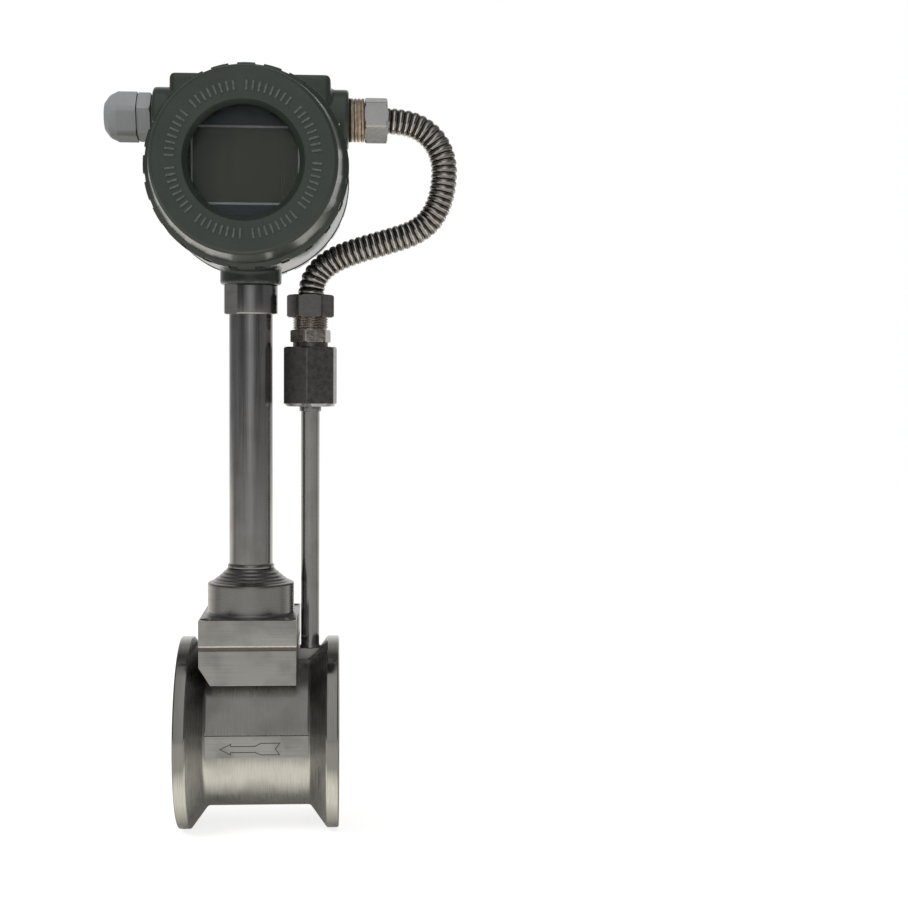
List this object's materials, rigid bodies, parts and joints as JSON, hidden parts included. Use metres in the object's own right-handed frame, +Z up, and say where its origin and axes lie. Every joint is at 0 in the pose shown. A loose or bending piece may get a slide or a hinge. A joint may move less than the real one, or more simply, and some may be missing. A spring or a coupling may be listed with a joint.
{
  "type": "vortex flow meter",
  "caption": "Wafer vortex flow meter: disc-ended pipe body with a shedder bar, tall stem, display head, cable gland and a pressure tapping with a flexible conduit.",
  "frame": {"origin": "middle of the pipe bore, halfway between the two sealing faces", "axes": "+X along the bore towards the inlet face, against the flow arrow; +Y away from the display; +Z up the stem"},
  "size_m": [0.2111, 0.131, 0.4511],
  "materials": {
    "stainless_body": "satin machined stainless steel",
    "stainless_stem": "turned and polished stainless steel",
    "hose_steel": "corrugated stainless steel",
    "dark_steel": "black oxide steel",
    "union_steel": "dark plated steel",
    "head_paint": "dark grey-green powder coat on cast aluminium",
    "brass": "worn brass",
    "gland_plastic": "moulded grey polyamide",
    "seal_rubber": "black seal rubber",
    "gasket_sheet": "brown fibre gasket sheet",
    "window_glass": "clear toughened glass",
    "display_black": "dark blue-grey moulding",
    "lcd_face": "unlit liquid crystal panel",
    "board_green": "green circuit board",
    "terminal_plastic": "black terminal strip"
  },
  "bodies": {
    "fixed_body": {"meter_body": "stainless_body", "shedder_bar": "stainless_stem", "piezo_sensor": "stainless_stem", "shedder_gasket": "gasket_sheet", "bonnet_gasket": "gasket_sheet", "bonnet": "stainless_body", "bonnet_screws": "dark_steel", "stem_tube": "stainless_stem", "neck_o_ring": "seal_rubber", "stem_collar": "stainless_stem", "impulse_tube": "stainless_stem", "pressure_coupling": "union_steel", "pressure_sensor": "stainless_stem", "union_adapter": "hose_steel", "flexible_hose": "hose_steel", "brass_adapter": "brass", "adapter_gasket": "seal_rubber", "housing": "head_paint", "housing_set_screw": "dark_steel", "feed_bushing": "terminal_plastic", "display_frame": "display_black", "lcd_panel": "lcd_face", "display_board": "board_green", "display_posts": "brass", "display_screws": "dark_steel", "main_board": "board_green", "board_posts": "brass", "terminal_block": "terminal_plastic", "terminal_screws": "brass", "gland_gasket": "seal_rubber", "gland_body": "gland_plastic"},
    "front_seal_body": {"front_o_ring": "seal_rubber"},
    "front_cover_body": {"front_cover": "head_paint", "window_gasket": "seal_rubber", "window_glass": "window_glass", "window_retainer": "head_paint"},
    "rear_seal_body": {"rear_o_ring": "seal_rubber"},
    "rear_cover_body": {"rear_cover": "head_paint"},
    "gland_seal_body": {"gland_seal": "seal_rubber"},
    "gland_nut_body": {"gland_dome_nut": "gland_plastic"},
    "upper_ring_body": {"upper_thrust_ring": "brass"},
    "upper_nut_body": {"upper_hose_nut": "union_steel"},
    "lower_ring_body": {"lower_thrust_ring": "brass"},
    "lower_nut_body": {"lower_hose_nut": "union_steel"}
  },
  "joints": [
    {"name": "front_cover_feed", "type": "slide", "parent": "fixed_body", "child": "front_seal_body", "axis": [0, -1, 0], "range_m": [0, 0.01005]},
    {"name": "front_cover_turn", "type": "hinge", "parent": "front_seal_body", "child": "front_cover_body", "pos_m": [-0.0056, -0.034, 0.3344], "axis": [0, -1, 0], "range_deg": [0, 1800]},
    {"name": "rear_cover_feed", "type": "slide", "parent": "fixed_body", "child": "rear_seal_body", "axis": [0, 1, 0], "range_m": [0, 0.01005]},
    {"name": "rear_cover_turn", "type": "hinge", "parent": "rear_seal_body", "child": "rear_cover_body", "pos_m": [-0.0056, 0.034, 0.3344], "axis": [0, 1, 0], "range_deg": [0, 1800]},
    {"name": "gland_nut_feed", "type": "slide", "parent": "fixed_body", "child": "gland_seal_body", "axis": [-1, 0, 0], "range_m": [0, 0.00605]},
    {"name": "gland_nut_turn", "type": "hinge", "parent": "gland_seal_body", "child": "gland_nut_body", "pos_m": [-0.075, 0.01, 0.3694], "axis": [-1, 0, 0], "range_deg": [0, 1440]},
    {"name": "upper_nut_feed", "type": "slide", "parent": "fixed_body", "child": "upper_ring_body", "axis": [1, 0, 0], "range_m": [0, 0.00455]},
    {"name": "upper_nut_turn", "type": "hinge", "parent": "upper_ring_body", "child": "upper_nut_body", "pos_m": [0.0682, 0.01, 0.3694], "axis": [1, 0, 0], "range_deg": [0, 1080]},
    {"name": "lower_nut_feed", "type": "slide", "parent": "fixed_body", "child": "lower_ring_body", "axis": [0, 0, 1], "range_m": [0, 0.00455]},
    {"name": "lower_nut_turn", "type": "hinge", "parent": "lower_ring_body", "child": "lower_nut_body", "pos_m": [0.0298, 0.005, 0.2562], "axis": [0, 0, 1], "range_deg": [0, 1080]}
  ],
  "couplings": [
    {"joint": "front_cover_feed", "follows": "front_cover_turn", "m_per_rad": 0.00031831},
    {"joint": "rear_cover_feed", "follows": "rear_cover_turn", "m_per_rad": 0.00031831},
    {"joint": "gland_nut_feed", "follows": "gland_nut_turn", "m_per_rad": 0.00023873},
    {"joint": "upper_nut_feed", "follows": "upper_nut_turn", "m_per_rad": 0.00023873},
    {"joint": "lower_nut_feed", "follows": "lower_nut_turn", "m_per_rad": 0.00023873}
  ]
}
